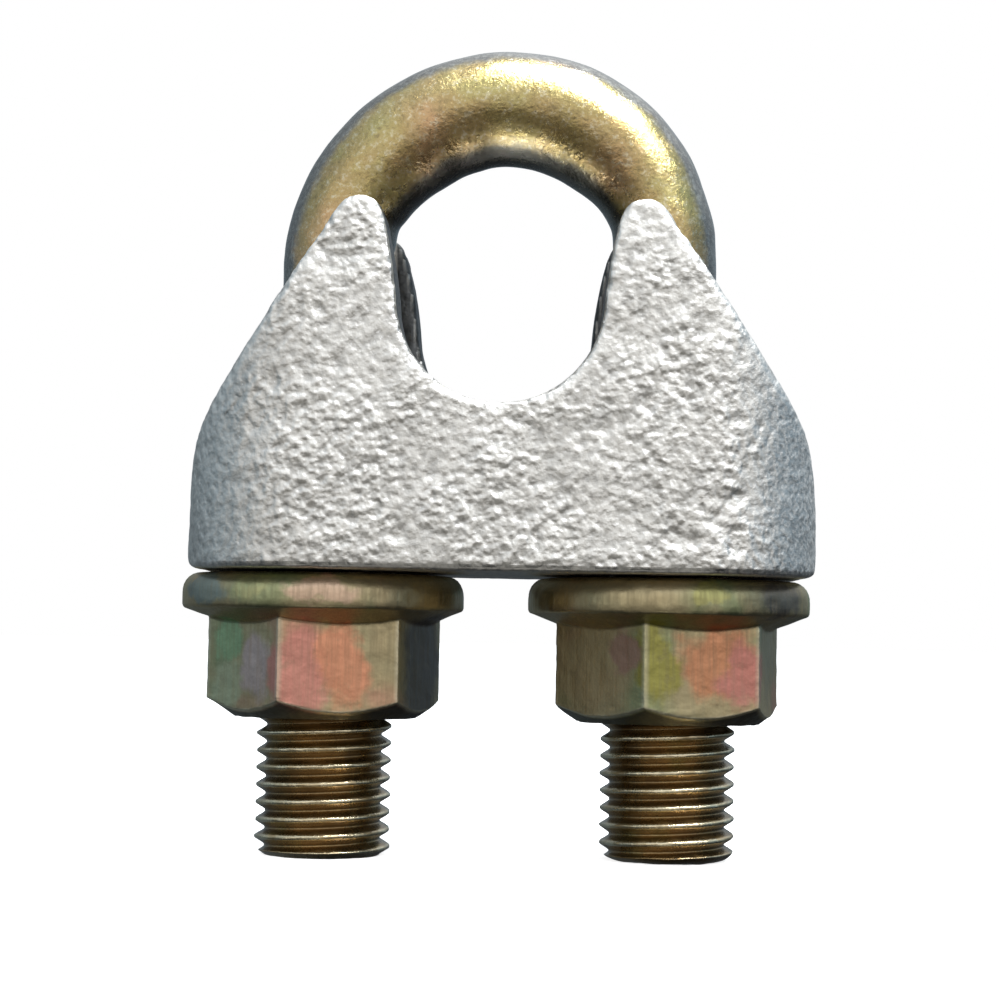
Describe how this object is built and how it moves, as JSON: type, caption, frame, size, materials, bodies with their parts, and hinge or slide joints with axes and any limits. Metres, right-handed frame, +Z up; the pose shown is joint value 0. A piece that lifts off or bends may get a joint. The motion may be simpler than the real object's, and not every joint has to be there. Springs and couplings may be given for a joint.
{
  "type": "wire rope clip",
  "caption": "Clip that clamps two runs of wire rope between a threaded U-bolt and a cast saddle, drawn together by hexagon flange nuts.",
  "frame": {"origin": "on the ground under the middle of the clip, level with the two leg ends", "axes": "+Z up the legs to the bow, +X from the left leg to the right leg as seen in the picture, +Y along the rope, away from the camera"},
  "size_m": [0.0738, 0.038, 0.0964],
  "materials": {
    "u_bolt": "yellow passivated zinc plating on round steel bar, olive to gold, rolled threads brown gold",
    "saddle": "galvanised casting, silver grey, coarse cast skin",
    "nut": "yellow passivated zinc plating with pink and green tints, fine upright draw lines on the flats"
  },
  "bodies": {
    "bolt": {"u_bolt": "u_bolt"},
    "bridge": {"saddle": "saddle"},
    "nut_left": {"flange_nut_left": "nut"},
    "nut_right": {"flange_nut_right": "nut"}
  },
  "joints": [
    {"name": "saddle_slide", "type": "slide", "parent": "bolt", "child": "bridge", "axis": [0, 0, 1], "range_m": [-0.0155, 0.01]},
    {"name": "nut_left_spin", "type": "hinge", "parent": "bridge", "child": "nut_left", "pos_m": [-0.02025, 0, 0.022], "axis": [0, 0, 1], "range_deg": [-2795, 1805]},
    {"name": "nut_right_spin", "type": "hinge", "parent": "bridge", "child": "nut_right", "pos_m": [0.02025, 0, 0.022], "axis": [0, 0, 1], "range_deg": [-2795, 1805]}
  ],
  "couplings": [
    {"joint": "nut_left_spin", "follows": "saddle_slide", "rad_per_m": 3141.6},
    {"joint": "nut_right_spin", "follows": "saddle_slide", "rad_per_m": 3141.6}
  ]
}
